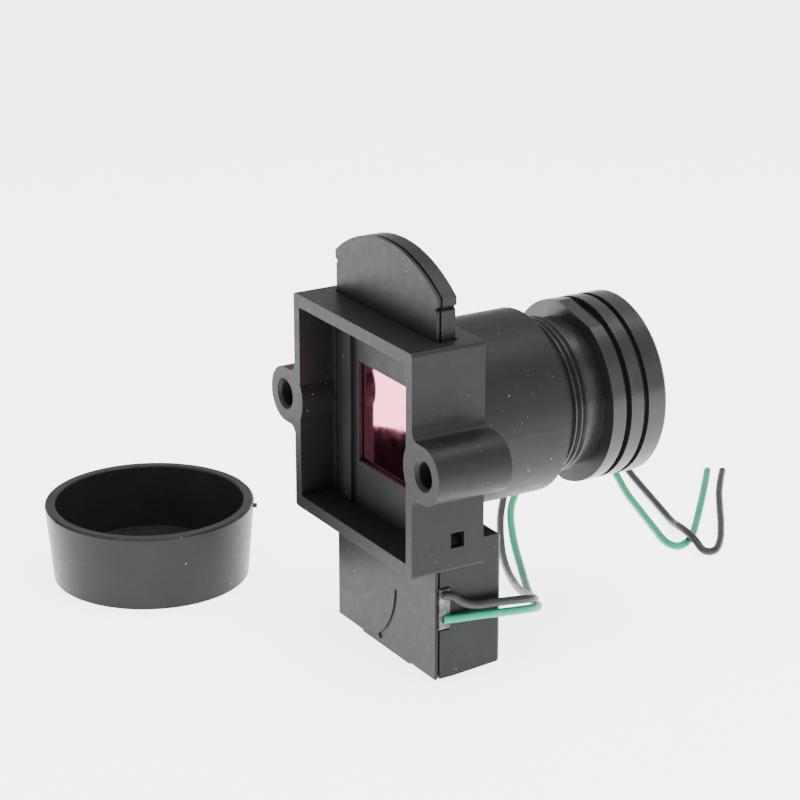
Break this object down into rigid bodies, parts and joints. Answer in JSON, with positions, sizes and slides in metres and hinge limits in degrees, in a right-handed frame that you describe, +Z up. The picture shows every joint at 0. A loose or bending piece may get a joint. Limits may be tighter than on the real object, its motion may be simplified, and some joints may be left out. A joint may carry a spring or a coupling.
{
  "type": "lens holder with filter switcher",
  "caption": "Board-mount lens holder with a motorised infrared-cut filter switcher, a screw-in board lens, two coil wires and a loose lens cap.",
  "frame": {"origin": "where the optical axis meets the face that seats on the circuit board, midway between the two screw holes", "axes": "+Y along the optical axis towards the front of the lens, +X across the screw holes, +Z up"},
  "size_m": [0.0426, 0.0607, 0.0318],
  "materials": {
    "holder_black": "fine matte black nylon",
    "switcher_black": "semi-matte black moulding",
    "slide_black": "smooth black acetal",
    "filter_red": "dichroic infrared-cut coating, pink reflection",
    "filter_clear": "clear glass",
    "lever_white": "natural acetal",
    "magnet_grey": "nickel-plated magnet",
    "steel": "ground steel",
    "yoke_iron": "soft iron",
    "bobbin_amber": "moulded bobbin plastic",
    "copper": "enamelled copper wire",
    "solder_tin": "tinned pins",
    "glue_clear": "clear set glue",
    "wire_black_skin": "soft PVC",
    "wire_green_skin": "soft PVC",
    "barrel_black": "black anodised, turned",
    "ring_black": "black anodised",
    "lens_glass": "coated optical glass",
    "spacer_black": "blackened spacer",
    "cap_black": "semi-gloss black polythene"
  },
  "bodies": {
    "holder": {"lens_holder": "holder_black", "switcher_cover": "switcher_black", "switcher_case": "switcher_black", "rotor_shaft": "steel", "coil_yoke": "yoke_iron", "coil_bobbin": "bobbin_amber", "coil_winding": "copper", "coil_terminals": "solder_tin", "wire_glue": "glue_clear", "wire_black": "wire_black_skin", "wire_green": "wire_green_skin"},
    "filters": {"filter_slide": "slide_black", "ir_cut_filter": "filter_red", "clear_filter": "filter_clear"},
    "rotor": {"drive_lever": "lever_white", "rotor_magnet": "magnet_grey"},
    "glass_stack": {"rear_crown_element": "lens_glass", "rear_flint_element": "lens_glass", "rear_spacer": "spacer_black", "aperture_stop": "spacer_black", "stop_spacer": "spacer_black", "middle_element": "lens_glass", "middle_spacer": "spacer_black", "front_spacer": "spacer_black", "front_element": "lens_glass"},
    "barrel": {"lens_barrel": "barrel_black", "front_retaining_ring": "ring_black", "rear_retaining_ring": "ring_black"},
    "cap": {"lens_cap": "cap_black"}
  },
  "joints": [
    {"name": "lever_swing", "type": "hinge", "parent": "holder", "child": "rotor", "pos_m": [-0.0041, 0.0045, -0.0121], "axis": [0, -1, 0], "range_deg": [0, 100]},
    {"name": "filter_travel", "type": "slide", "parent": "holder", "child": "filters", "axis": [0, 0, 1], "range_m": [0, 0.0082]},
    {"name": "focus_travel", "type": "slide", "parent": "holder", "child": "glass_stack", "axis": [0, 1, 0], "range_m": [-0.002, 0.0025]},
    {"name": "focus_turn", "type": "hinge", "parent": "glass_stack", "child": "barrel", "pos_m": [0, 0.0125, 0], "axis": [0, 1, 0], "range_deg": [-1440, 1800]},
    {"name": "cap_lift", "type": "slide", "parent": "holder", "child": "cap", "axis": [0, 0, 1], "range_m": [0, 0.025]}
  ],
  "couplings": [
    {"joint": "lever_swing", "follows": "filter_travel", "rad_per_m": 212.84},
    {"joint": "focus_turn", "follows": "focus_travel", "rad_per_m": 12566}
  ]
}
